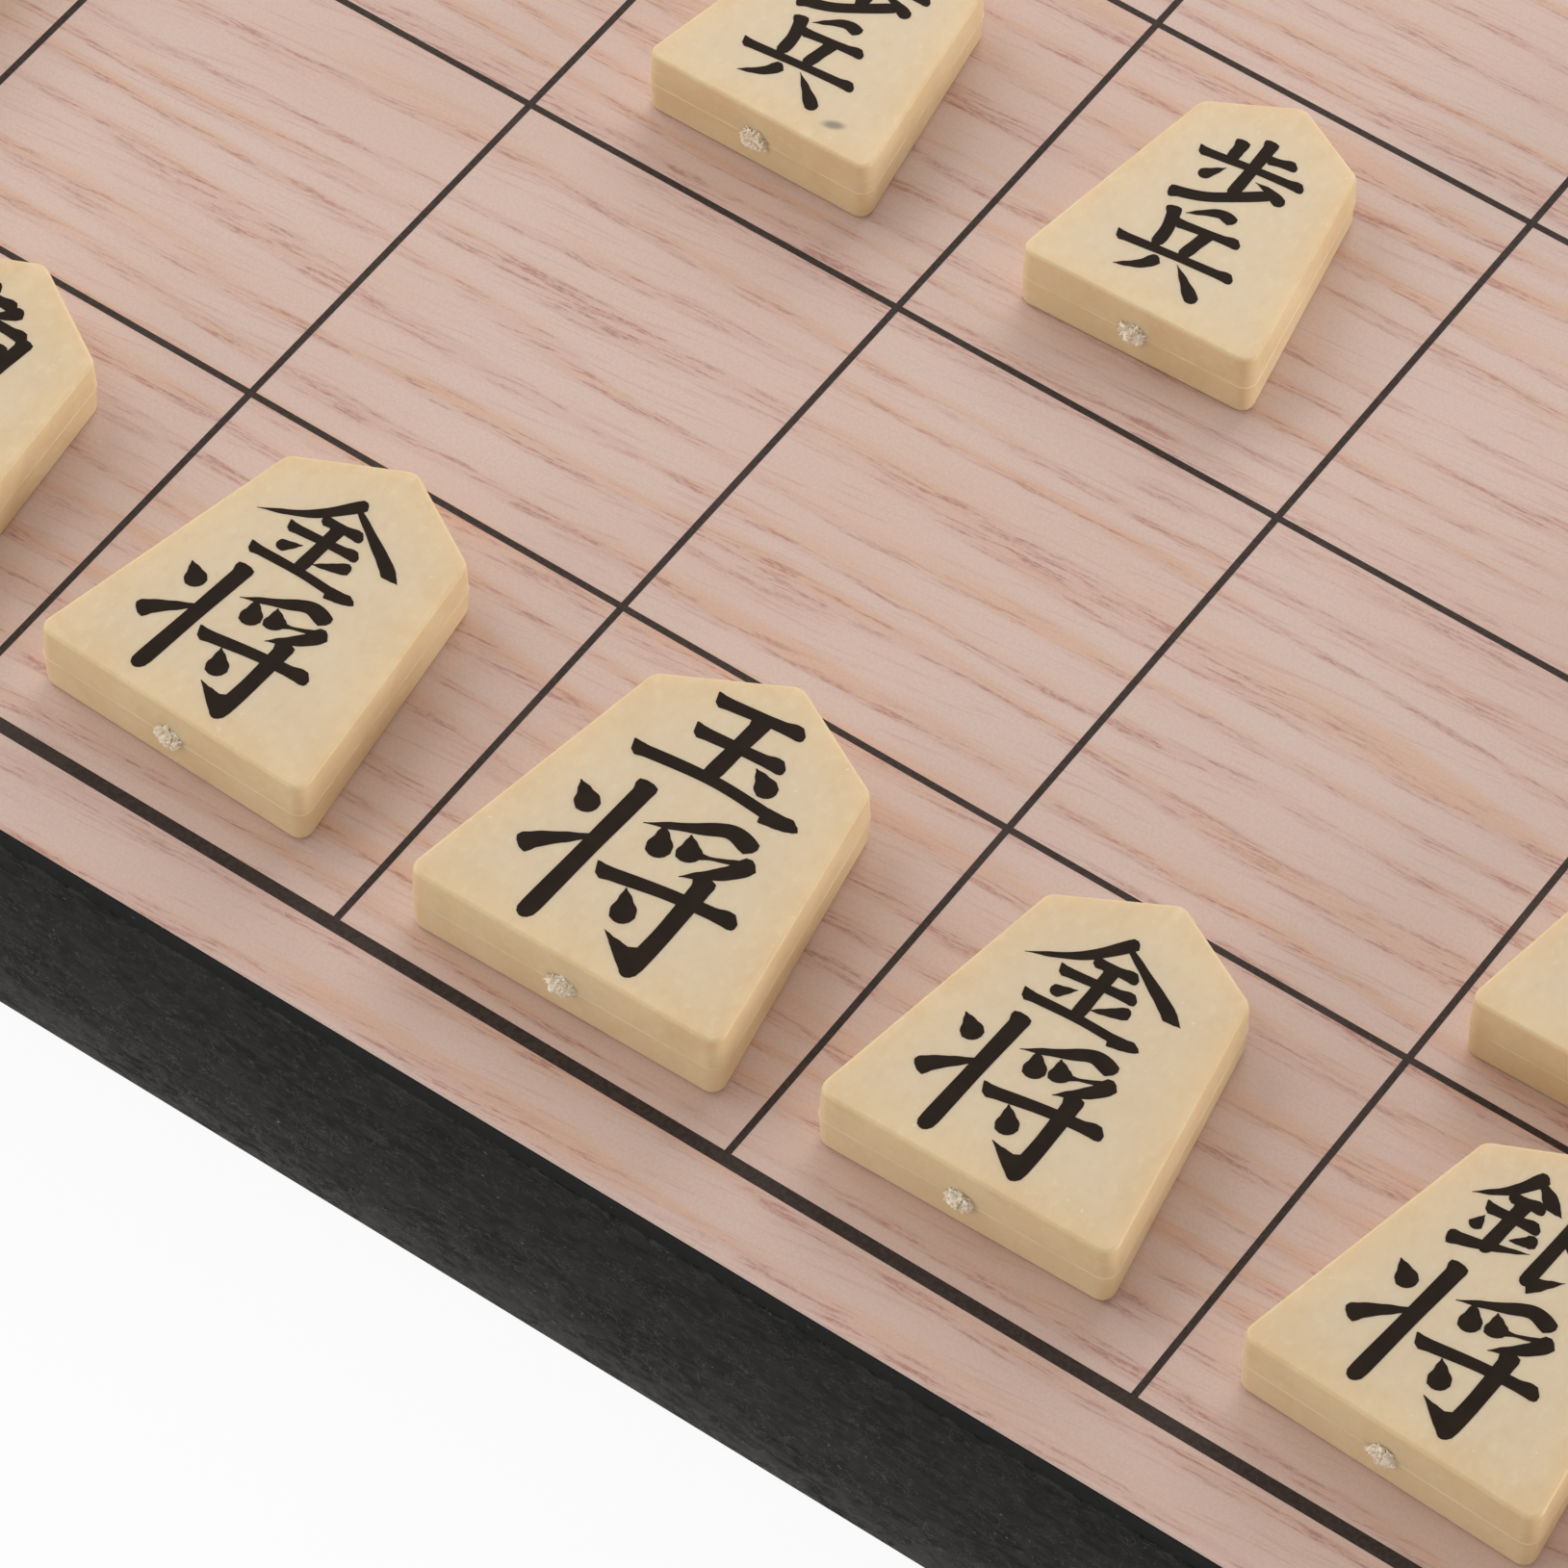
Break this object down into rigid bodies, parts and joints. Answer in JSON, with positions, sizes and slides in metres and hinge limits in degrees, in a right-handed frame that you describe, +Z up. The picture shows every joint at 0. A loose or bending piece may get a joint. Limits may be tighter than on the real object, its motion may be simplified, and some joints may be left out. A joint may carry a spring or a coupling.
{
  "type": "shogi board with pieces",
  "caption": "Square-ruled shogi board as a shallow black case with a wood-grain playing sheet, side drawers and five-sided pieces standing on it.",
  "frame": {"origin": "on the table under the middle of the board", "axes": "+X along the ranks to the near player's right, +Y from the near player to the far player, +Z up"},
  "size_m": [0.2826, 0.2898, 0.0275],
  "materials": {
    "case_black": "matte black, fine fibrous skin",
    "case_inside": "matte dark grey",
    "printed_sheet": "satin printed wood grain, pinkish beige",
    "print_line": "satin dark brown print",
    "piece_plastic": "satin cream moulded plastic",
    "piece_ink": "satin black stamped ink",
    "tray_plastic": "satin black moulded plastic",
    "foot_foam": "matte black foam rubber"
  },
  "bodies": {
    "case": {"play_sheet": "printed_sheet", "top_panel": "case_black", "base_panel": "case_black", "centre_rib": "case_inside", "near_rail": "case_black", "far_rail": "case_black", "left_rail": "case_black", "right_rail": "case_black", "left_drawer_bay": "case_inside", "right_drawer_bay": "case_inside", "foot_near_left": "foot_foam", "foot_near_right": "foot_foam", "foot_far_left": "foot_foam", "foot_far_right": "foot_foam"},
    "left_drawer": {"left_drawer_front": "case_black", "left_drawer_tray": "tray_plastic", "left_drawer_divider": "tray_plastic"},
    "right_drawer": {"right_drawer_front": "case_black", "right_drawer_tray": "tray_plastic", "right_drawer_divider": "tray_plastic"},
    "near_king_body": {"near_king": "piece_plastic"},
    "near_gold_left_body": {"near_gold_left": "piece_plastic"},
    "near_gold_right_body": {"near_gold_right": "piece_plastic"},
    "near_silver_left_body": {"near_silver_left": "piece_plastic"},
    "near_silver_right_body": {"near_silver_right": "piece_plastic"},
    "near_bishop_body": {"near_bishop": "piece_plastic"},
    "near_rook_body": {"near_rook": "piece_plastic"},
    "near_knight_left_body": {"near_knight_left": "piece_plastic"},
    "near_knight_right_body": {"near_knight_right": "piece_plastic"},
    "near_lance_left_body": {"near_lance_left": "piece_plastic"},
    "near_lance_right_body": {"near_lance_right": "piece_plastic"},
    "near_pawn_1_body": {"near_pawn_1": "piece_plastic"},
    "near_pawn_2_body": {"near_pawn_2": "piece_plastic"},
    "near_pawn_3_body": {"near_pawn_3": "piece_plastic"},
    "near_pawn_4_body": {"near_pawn_4": "piece_plastic"},
    "near_pawn_5_body": {"near_pawn_5": "piece_plastic"},
    "near_pawn_6_body": {"near_pawn_6": "piece_plastic"},
    "near_pawn_7_body": {"near_pawn_7": "piece_plastic"},
    "near_pawn_8_body": {"near_pawn_8": "piece_plastic"},
    "near_pawn_9_body": {"near_pawn_9": "piece_plastic"},
    "far_king_body": {"far_king": "piece_plastic"},
    "far_gold_left_body": {"far_gold_left": "piece_plastic"},
    "far_gold_right_body": {"far_gold_right": "piece_plastic"},
    "far_silver_left_body": {"far_silver_left": "piece_plastic"},
    "far_silver_right_body": {"far_silver_right": "piece_plastic"},
    "far_bishop_body": {"far_bishop": "piece_plastic"},
    "far_rook_body": {"far_rook": "piece_plastic"},
    "far_knight_left_body": {"far_knight_left": "piece_plastic"},
    "far_knight_right_body": {"far_knight_right": "piece_plastic"},
    "far_lance_left_body": {"far_lance_left": "piece_plastic"},
    "far_lance_right_body": {"far_lance_right": "piece_plastic"},
    "far_pawn_1_body": {"far_pawn_1": "piece_plastic"},
    "far_pawn_2_body": {"far_pawn_2": "piece_plastic"},
    "far_pawn_3_body": {"far_pawn_3": "piece_plastic"},
    "far_pawn_4_body": {"far_pawn_4": "piece_plastic"},
    "far_pawn_5_body": {"far_pawn_5": "piece_plastic"},
    "far_pawn_6_body": {"far_pawn_6": "piece_plastic"},
    "far_pawn_7_body": {"far_pawn_7": "piece_plastic"},
    "far_pawn_8_body": {"far_pawn_8": "piece_plastic"},
    "far_pawn_9_body": {"far_pawn_9": "piece_plastic"}
  },
  "joints": [
    {"name": "drawer_left_slide", "type": "slide", "parent": "case", "child": "left_drawer", "axis": [-1, 0, 0], "range_m": [0, 0.0505]},
    {"name": "drawer_right_slide", "type": "slide", "parent": "case", "child": "right_drawer", "axis": [1, 0, 0], "range_m": [0, 0.0505]},
    {"name": "lift_near_king", "type": "slide", "parent": "case", "child": "near_king_body", "axis": [0, 0, 1], "range_m": [0, 0.025]},
    {"name": "lift_near_gold_left", "type": "slide", "parent": "case", "child": "near_gold_left_body", "axis": [0, 0, 1], "range_m": [0, 0.025]},
    {"name": "lift_near_gold_right", "type": "slide", "parent": "case", "child": "near_gold_right_body", "axis": [0, 0, 1], "range_m": [0, 0.025]},
    {"name": "lift_near_silver_left", "type": "slide", "parent": "case", "child": "near_silver_left_body", "axis": [0, 0, 1], "range_m": [0, 0.025]},
    {"name": "lift_near_silver_right", "type": "slide", "parent": "case", "child": "near_silver_right_body", "axis": [0, 0, 1], "range_m": [0, 0.025]},
    {"name": "lift_near_bishop", "type": "slide", "parent": "case", "child": "near_bishop_body", "axis": [0, 0, 1], "range_m": [0, 0.025]},
    {"name": "lift_near_rook", "type": "slide", "parent": "case", "child": "near_rook_body", "axis": [0, 0, 1], "range_m": [0, 0.025]},
    {"name": "lift_near_knight_left", "type": "slide", "parent": "case", "child": "near_knight_left_body", "axis": [0, 0, 1], "range_m": [0, 0.025]},
    {"name": "lift_near_knight_right", "type": "slide", "parent": "case", "child": "near_knight_right_body", "axis": [0, 0, 1], "range_m": [0, 0.025]},
    {"name": "lift_near_lance_left", "type": "slide", "parent": "case", "child": "near_lance_left_body", "axis": [0, 0, 1], "range_m": [0, 0.025]},
    {"name": "lift_near_lance_right", "type": "slide", "parent": "case", "child": "near_lance_right_body", "axis": [0, 0, 1], "range_m": [0, 0.025]},
    {"name": "lift_near_pawn_1", "type": "slide", "parent": "case", "child": "near_pawn_1_body", "axis": [0, 0, 1], "range_m": [0, 0.025]},
    {"name": "lift_near_pawn_2", "type": "slide", "parent": "case", "child": "near_pawn_2_body", "axis": [0, 0, 1], "range_m": [0, 0.025]},
    {"name": "lift_near_pawn_3", "type": "slide", "parent": "case", "child": "near_pawn_3_body", "axis": [0, 0, 1], "range_m": [0, 0.025]},
    {"name": "lift_near_pawn_4", "type": "slide", "parent": "case", "child": "near_pawn_4_body", "axis": [0, 0, 1], "range_m": [0, 0.025]},
    {"name": "lift_near_pawn_5", "type": "slide", "parent": "case", "child": "near_pawn_5_body", "axis": [0, 0, 1], "range_m": [0, 0.025]},
    {"name": "lift_near_pawn_6", "type": "slide", "parent": "case", "child": "near_pawn_6_body", "axis": [0, 0, 1], "range_m": [0, 0.025]},
    {"name": "lift_near_pawn_7", "type": "slide", "parent": "case", "child": "near_pawn_7_body", "axis": [0, 0, 1], "range_m": [0, 0.025]},
    {"name": "lift_near_pawn_8", "type": "slide", "parent": "case", "child": "near_pawn_8_body", "axis": [0, 0, 1], "range_m": [0, 0.025]},
    {"name": "lift_near_pawn_9", "type": "slide", "parent": "case", "child": "near_pawn_9_body", "axis": [0, 0, 1], "range_m": [0, 0.025]},
    {"name": "lift_far_king", "type": "slide", "parent": "case", "child": "far_king_body", "axis": [0, 0, 1], "range_m": [0, 0.025]},
    {"name": "lift_far_gold_left", "type": "slide", "parent": "case", "child": "far_gold_left_body", "axis": [0, 0, 1], "range_m": [0, 0.025]},
    {"name": "lift_far_gold_right", "type": "slide", "parent": "case", "child": "far_gold_right_body", "axis": [0, 0, 1], "range_m": [0, 0.025]},
    {"name": "lift_far_silver_left", "type": "slide", "parent": "case", "child": "far_silver_left_body", "axis": [0, 0, 1], "range_m": [0, 0.025]},
    {"name": "lift_far_silver_right", "type": "slide", "parent": "case", "child": "far_silver_right_body", "axis": [0, 0, 1], "range_m": [0, 0.025]},
    {"name": "lift_far_bishop", "type": "slide", "parent": "case", "child": "far_bishop_body", "axis": [0, 0, 1], "range_m": [0, 0.025]},
    {"name": "lift_far_rook", "type": "slide", "parent": "case", "child": "far_rook_body", "axis": [0, 0, 1], "range_m": [0, 0.025]},
    {"name": "lift_far_knight_left", "type": "slide", "parent": "case", "child": "far_knight_left_body", "axis": [0, 0, 1], "range_m": [0, 0.025]},
    {"name": "lift_far_knight_right", "type": "slide", "parent": "case", "child": "far_knight_right_body", "axis": [0, 0, 1], "range_m": [0, 0.025]},
    {"name": "lift_far_lance_left", "type": "slide", "parent": "case", "child": "far_lance_left_body", "axis": [0, 0, 1], "range_m": [0, 0.025]},
    {"name": "lift_far_lance_right", "type": "slide", "parent": "case", "child": "far_lance_right_body", "axis": [0, 0, 1], "range_m": [0, 0.025]},
    {"name": "lift_far_pawn_1", "type": "slide", "parent": "case", "child": "far_pawn_1_body", "axis": [0, 0, 1], "range_m": [0, 0.025]},
    {"name": "lift_far_pawn_2", "type": "slide", "parent": "case", "child": "far_pawn_2_body", "axis": [0, 0, 1], "range_m": [0, 0.025]},
    {"name": "lift_far_pawn_3", "type": "slide", "parent": "case", "child": "far_pawn_3_body", "axis": [0, 0, 1], "range_m": [0, 0.025]},
    {"name": "lift_far_pawn_4", "type": "slide", "parent": "case", "child": "far_pawn_4_body", "axis": [0, 0, 1], "range_m": [0, 0.025]},
    {"name": "lift_far_pawn_5", "type": "slide", "parent": "case", "child": "far_pawn_5_body", "axis": [0, 0, 1], "range_m": [0, 0.025]},
    {"name": "lift_far_pawn_6", "type": "slide", "parent": "case", "child": "far_pawn_6_body", "axis": [0, 0, 1], "range_m": [0, 0.025]},
    {"name": "lift_far_pawn_7", "type": "slide", "parent": "case", "child": "far_pawn_7_body", "axis": [0, 0, 1], "range_m": [0, 0.025]},
    {"name": "lift_far_pawn_8", "type": "slide", "parent": "case", "child": "far_pawn_8_body", "axis": [0, 0, 1], "range_m": [0, 0.025]},
    {"name": "lift_far_pawn_9", "type": "slide", "parent": "case", "child": "far_pawn_9_body", "axis": [0, 0, 1], "range_m": [0, 0.025]}
  ]
}
